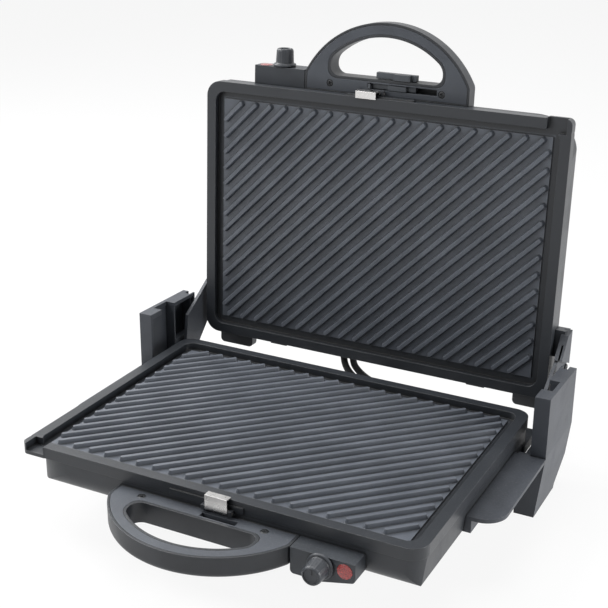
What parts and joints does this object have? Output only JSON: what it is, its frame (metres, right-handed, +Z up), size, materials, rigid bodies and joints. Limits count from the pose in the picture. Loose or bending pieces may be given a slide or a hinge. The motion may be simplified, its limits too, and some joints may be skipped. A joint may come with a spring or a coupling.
{
  "type": "contact grill",
  "caption": "Double contact grill with ribbed cast plates, a lid that lifts and folds flat between two columns, D-shaped handles, thermostat knobs and side shelves.",
  "frame": {"origin": "on the table, in the middle of the overall width and depth as the lid stands open", "axes": "+X to the right as seen from the handles' side, +Y from the handles towards the hinge, +Z up"},
  "size_m": [0.372, 0.3682, 0.3555],
  "materials": {
    "cast_plate": "dark non-stick coating",
    "shell_plastic": "fine matt texture",
    "element_steel": "oxidised",
    "reflector_aluminium": "mill finish",
    "screw_steel": "blackened zinc",
    "terminal_ceramic": "plain",
    "handle_plastic": "satin",
    "box_plastic": "satin",
    "thermostat_steel": "plain",
    "knob_plastic": "satin",
    "lamp_lens": "translucent red",
    "clip_steel": "bright spring steel",
    "grommet_rubber": "matt",
    "stand_plastic": "fine matt texture",
    "slider_plastic": "smooth",
    "arm_plastic": "satin",
    "lead_sleeve": "woven sleeve",
    "latch_plastic": "satin"
  },
  "bodies": {
    "base": {"foot_pads": "grommet_rubber", "front_feet": "stand_plastic", "inlet_bush": "grommet_rubber", "left_column": "stand_plastic", "left_lead": "lead_sleeve", "left_shelf": "stand_plastic", "lower_clip_pin": "screw_steel", "lower_control_box": "box_plastic", "lower_element": "element_steel", "lower_grommet": "grommet_rubber", "lower_handle_body": "handle_plastic", "lower_handle_cover": "handle_plastic", "lower_handle_screws": "screw_steel", "lower_pilot_lamp": "lamp_lens", "lower_plate": "cast_plate", "lower_reflector": "reflector_aluminium", "lower_reflector_screws": "screw_steel", "lower_shell": "shell_plastic", "lower_terminal_block": "terminal_ceramic", "lower_thermostat": "thermostat_steel", "right_column": "stand_plastic", "right_lead": "lead_sleeve", "right_shelf": "stand_plastic"},
    "carriage": {"left_slider": "slider_plastic", "right_slider": "slider_plastic", "left_hinge_pin": "screw_steel", "right_hinge_pin": "screw_steel"},
    "lid": {"lid_plate": "cast_plate", "lid_shell": "shell_plastic", "lid_element": "element_steel", "lid_reflector": "reflector_aluminium", "lid_reflector_screws": "screw_steel", "lid_terminal_block": "terminal_ceramic", "lid_handle_body": "handle_plastic", "lid_handle_cover": "handle_plastic", "lid_handle_screws": "screw_steel", "lid_control_box": "box_plastic", "lid_thermostat": "thermostat_steel", "lid_pilot_lamp": "lamp_lens", "lid_clip_pin": "screw_steel", "lid_grommet": "grommet_rubber", "left_arm": "arm_plastic", "right_arm": "arm_plastic", "left_arm_screws": "screw_steel", "right_arm_screws": "screw_steel"},
    "lower_knob": {"lower_knob": "knob_plastic"},
    "lid_knob": {"lid_knob": "knob_plastic"},
    "lower_clip": {"lower_plate_clip": "clip_steel"},
    "lid_clip": {"lid_plate_clip": "clip_steel"},
    "latch": {"latch_hook": "latch_plastic"}
  },
  "joints": [
    {"name": "lid_lift", "type": "slide", "parent": "base", "child": "carriage", "axis": [0, 0, 1], "range_m": [0, 0.028], "deforming": ["left_lead", "right_lead"]},
    {"name": "lid_hinge", "type": "hinge", "parent": "carriage", "child": "lid", "pos_m": [0, 0.11973, 0.0535], "axis": [1, 0, 0], "range_deg": [-87.37, 92.63]},
    {"name": "latch_turn", "type": "hinge", "parent": "lid", "child": "latch", "pos_m": [0.024, 0.16904, 0.30571], "axis": [0, 0.0458, 0.9989], "range_deg": [0, 90]},
    {"name": "lower_knob_turn", "type": "hinge", "parent": "base", "child": "lower_knob", "pos_m": [0.097, -0.13977, 0.0505], "axis": [0, -1, 0], "range_deg": [-270, 0]},
    {"name": "lid_knob_turn", "type": "hinge", "parent": "lid", "child": "lid_knob", "pos_m": [-0.097, 0.17158, 0.31089], "axis": [0, 0.0458, 0.9989], "range_deg": [-270, 0]},
    {"name": "lower_clip_turn", "type": "hinge", "parent": "base", "child": "lower_clip", "pos_m": [0.0105, -0.12767, 0.062], "axis": [1, 0, 0], "range_deg": [0, 30], "stiffness_Nm_per_rad": 0.02, "springref_deg": -11.46},
    {"name": "lid_clip_turn", "type": "hinge", "parent": "lid", "child": "lid_clip", "pos_m": [-0.0105, 0.15954, 0.29933], "axis": [-1, 0, 0], "range_deg": [0, 30], "stiffness_Nm_per_rad": 0.02, "springref_deg": -11.46}
  ]
}
